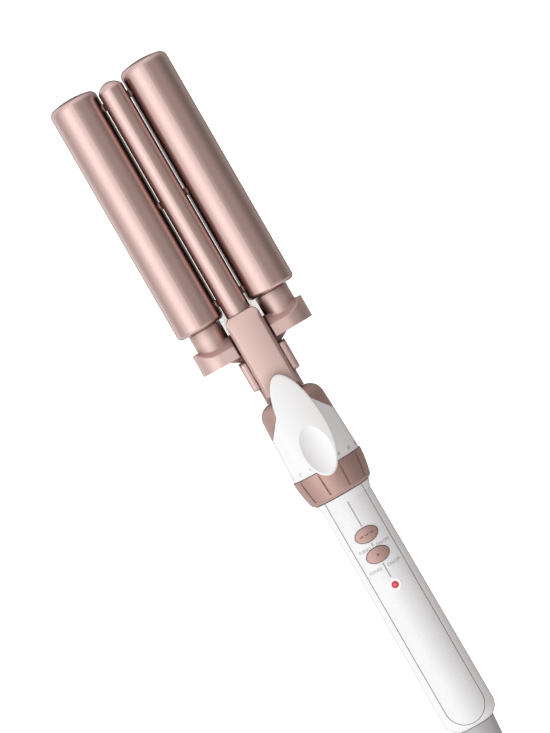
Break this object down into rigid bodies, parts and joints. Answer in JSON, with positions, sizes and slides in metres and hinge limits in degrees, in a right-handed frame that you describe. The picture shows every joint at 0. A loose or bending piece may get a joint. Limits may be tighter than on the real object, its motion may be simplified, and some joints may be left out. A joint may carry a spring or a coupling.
{
  "type": "hair waver",
  "caption": "Barrel hair waver with a sprung clamp arm and thumb lever, heat dial, push buttons, swivelling cord gland and folding safety stand.",
  "frame": {"origin": "bottom centre of the whole object lying on its back with the clamp shut and the stand folded", "axes": "+X from the cord end to the barrel tips, +Z out of the front with the thumb lever, Y across both barrels"},
  "size_m": [0.3874, 0.0662, 0.0527],
  "materials": {
    "rose_coating": "satin rose-gold coating on drawn aluminium",
    "rose_cast": "satin rose-gold coating on die casting",
    "rose_plastic": "rose-gold metallised moulding",
    "white_plastic": "glossy white moulding",
    "panel_plastic": "glossy white moulding",
    "stud_plastic": "matt heat-proof moulding",
    "red_lens": "clear red moulding",
    "gland_plastic": "matt grey moulding",
    "inner_plastic": "matt black moulding",
    "bush_ceramic": "heat-proof insulating moulding",
    "block_aluminium": "extruded",
    "steel": "plated steel",
    "stand_steel": "pressed plated sheet",
    "brass": "stamped or turned",
    "board_laminate": "glass-fibre laminate"
  },
  "bodies": {
    "handle": {"left_barrel": "rose_coating", "right_barrel": "rose_coating", "spacer_studs": "stud_plastic", "left_heat_blocks": "block_aluminium", "right_heat_blocks": "block_aluminium", "left_heater": "bush_ceramic", "right_heater": "bush_ceramic", "left_end_bush": "bush_ceramic", "right_end_bush": "bush_ceramic", "back_frame": "rose_cast", "left_yoke_cap": "rose_cast", "right_yoke_cap": "rose_cast", "yoke_screws": "steel", "heater_leads": "inner_plastic", "hinge_pin": "steel", "clamp_spring": "steel", "shoulder_cover": "rose_plastic", "number_collar": "white_plastic", "dial_track": "brass", "handle_shell": "white_plastic", "front_panel": "panel_plastic", "panel_screws": "steel", "turbo_switch": "inner_plastic", "power_switch": "inner_plastic", "lamp_lens": "red_lens", "lamp_bezel": "panel_plastic", "circuit_board": "board_laminate", "board_parts": "inner_plastic", "contact_brushes": "brass", "stand_pin": "steel"},
    "clamp": {"clamp_arm": "rose_cast", "center_barrel": "rose_coating", "center_end_bush": "bush_ceramic", "center_heat_blocks": "block_aluminium", "center_heater": "bush_ceramic", "thumb_lever": "white_plastic", "lever_screws": "steel", "hinge_bushes": "brass"},
    "dial": {"heat_dial": "rose_plastic", "dial_wiper": "brass"},
    "turbo": {"turbo_button": "rose_plastic", "turbo_plunger": "inner_plastic"},
    "power": {"power_button": "rose_plastic", "power_plunger": "inner_plastic"},
    "swivel": {"cord_swivel": "gland_plastic", "swivel_keeper": "inner_plastic", "slip_rings": "brass"},
    "stand": {"safety_stand": "stand_steel"}
  },
  "joints": [
    {"name": "clamp_hinge", "type": "hinge", "parent": "handle", "child": "clamp", "pos_m": [0.0288, 0, 0.02725], "axis": [0, -1, 0], "range_deg": [0, 9], "stiffness_Nm_per_rad": 0.35, "springref_deg": -68.75, "deforming": ["clamp_spring"]},
    {"name": "dial_turn", "type": "hinge", "parent": "handle", "child": "dial", "pos_m": [-0.03587, 0, 0.01925], "axis": [1, 0, 0], "range_deg": [-72, 72]},
    {"name": "turbo_press", "type": "slide", "parent": "handle", "child": "turbo", "axis": [0, 0, -1], "range_m": [0, 0.0008], "stiffness_N_per_m": 400, "springref_m": -0.003},
    {"name": "power_press", "type": "slide", "parent": "handle", "child": "power", "axis": [0, 0, -1], "range_m": [0, 0.0008], "stiffness_N_per_m": 400, "springref_m": -0.003},
    {"name": "cord_turn", "type": "hinge", "parent": "handle", "child": "swivel", "pos_m": [-0.19368, 0, 0.01925], "axis": [1, 0, 0], "continuous": true},
    {"name": "stand_fold", "type": "hinge", "parent": "handle", "child": "stand", "pos_m": [0.01742, 0, 0.00565], "axis": [0, 1, 0], "range_deg": [0, 100]}
  ]
}
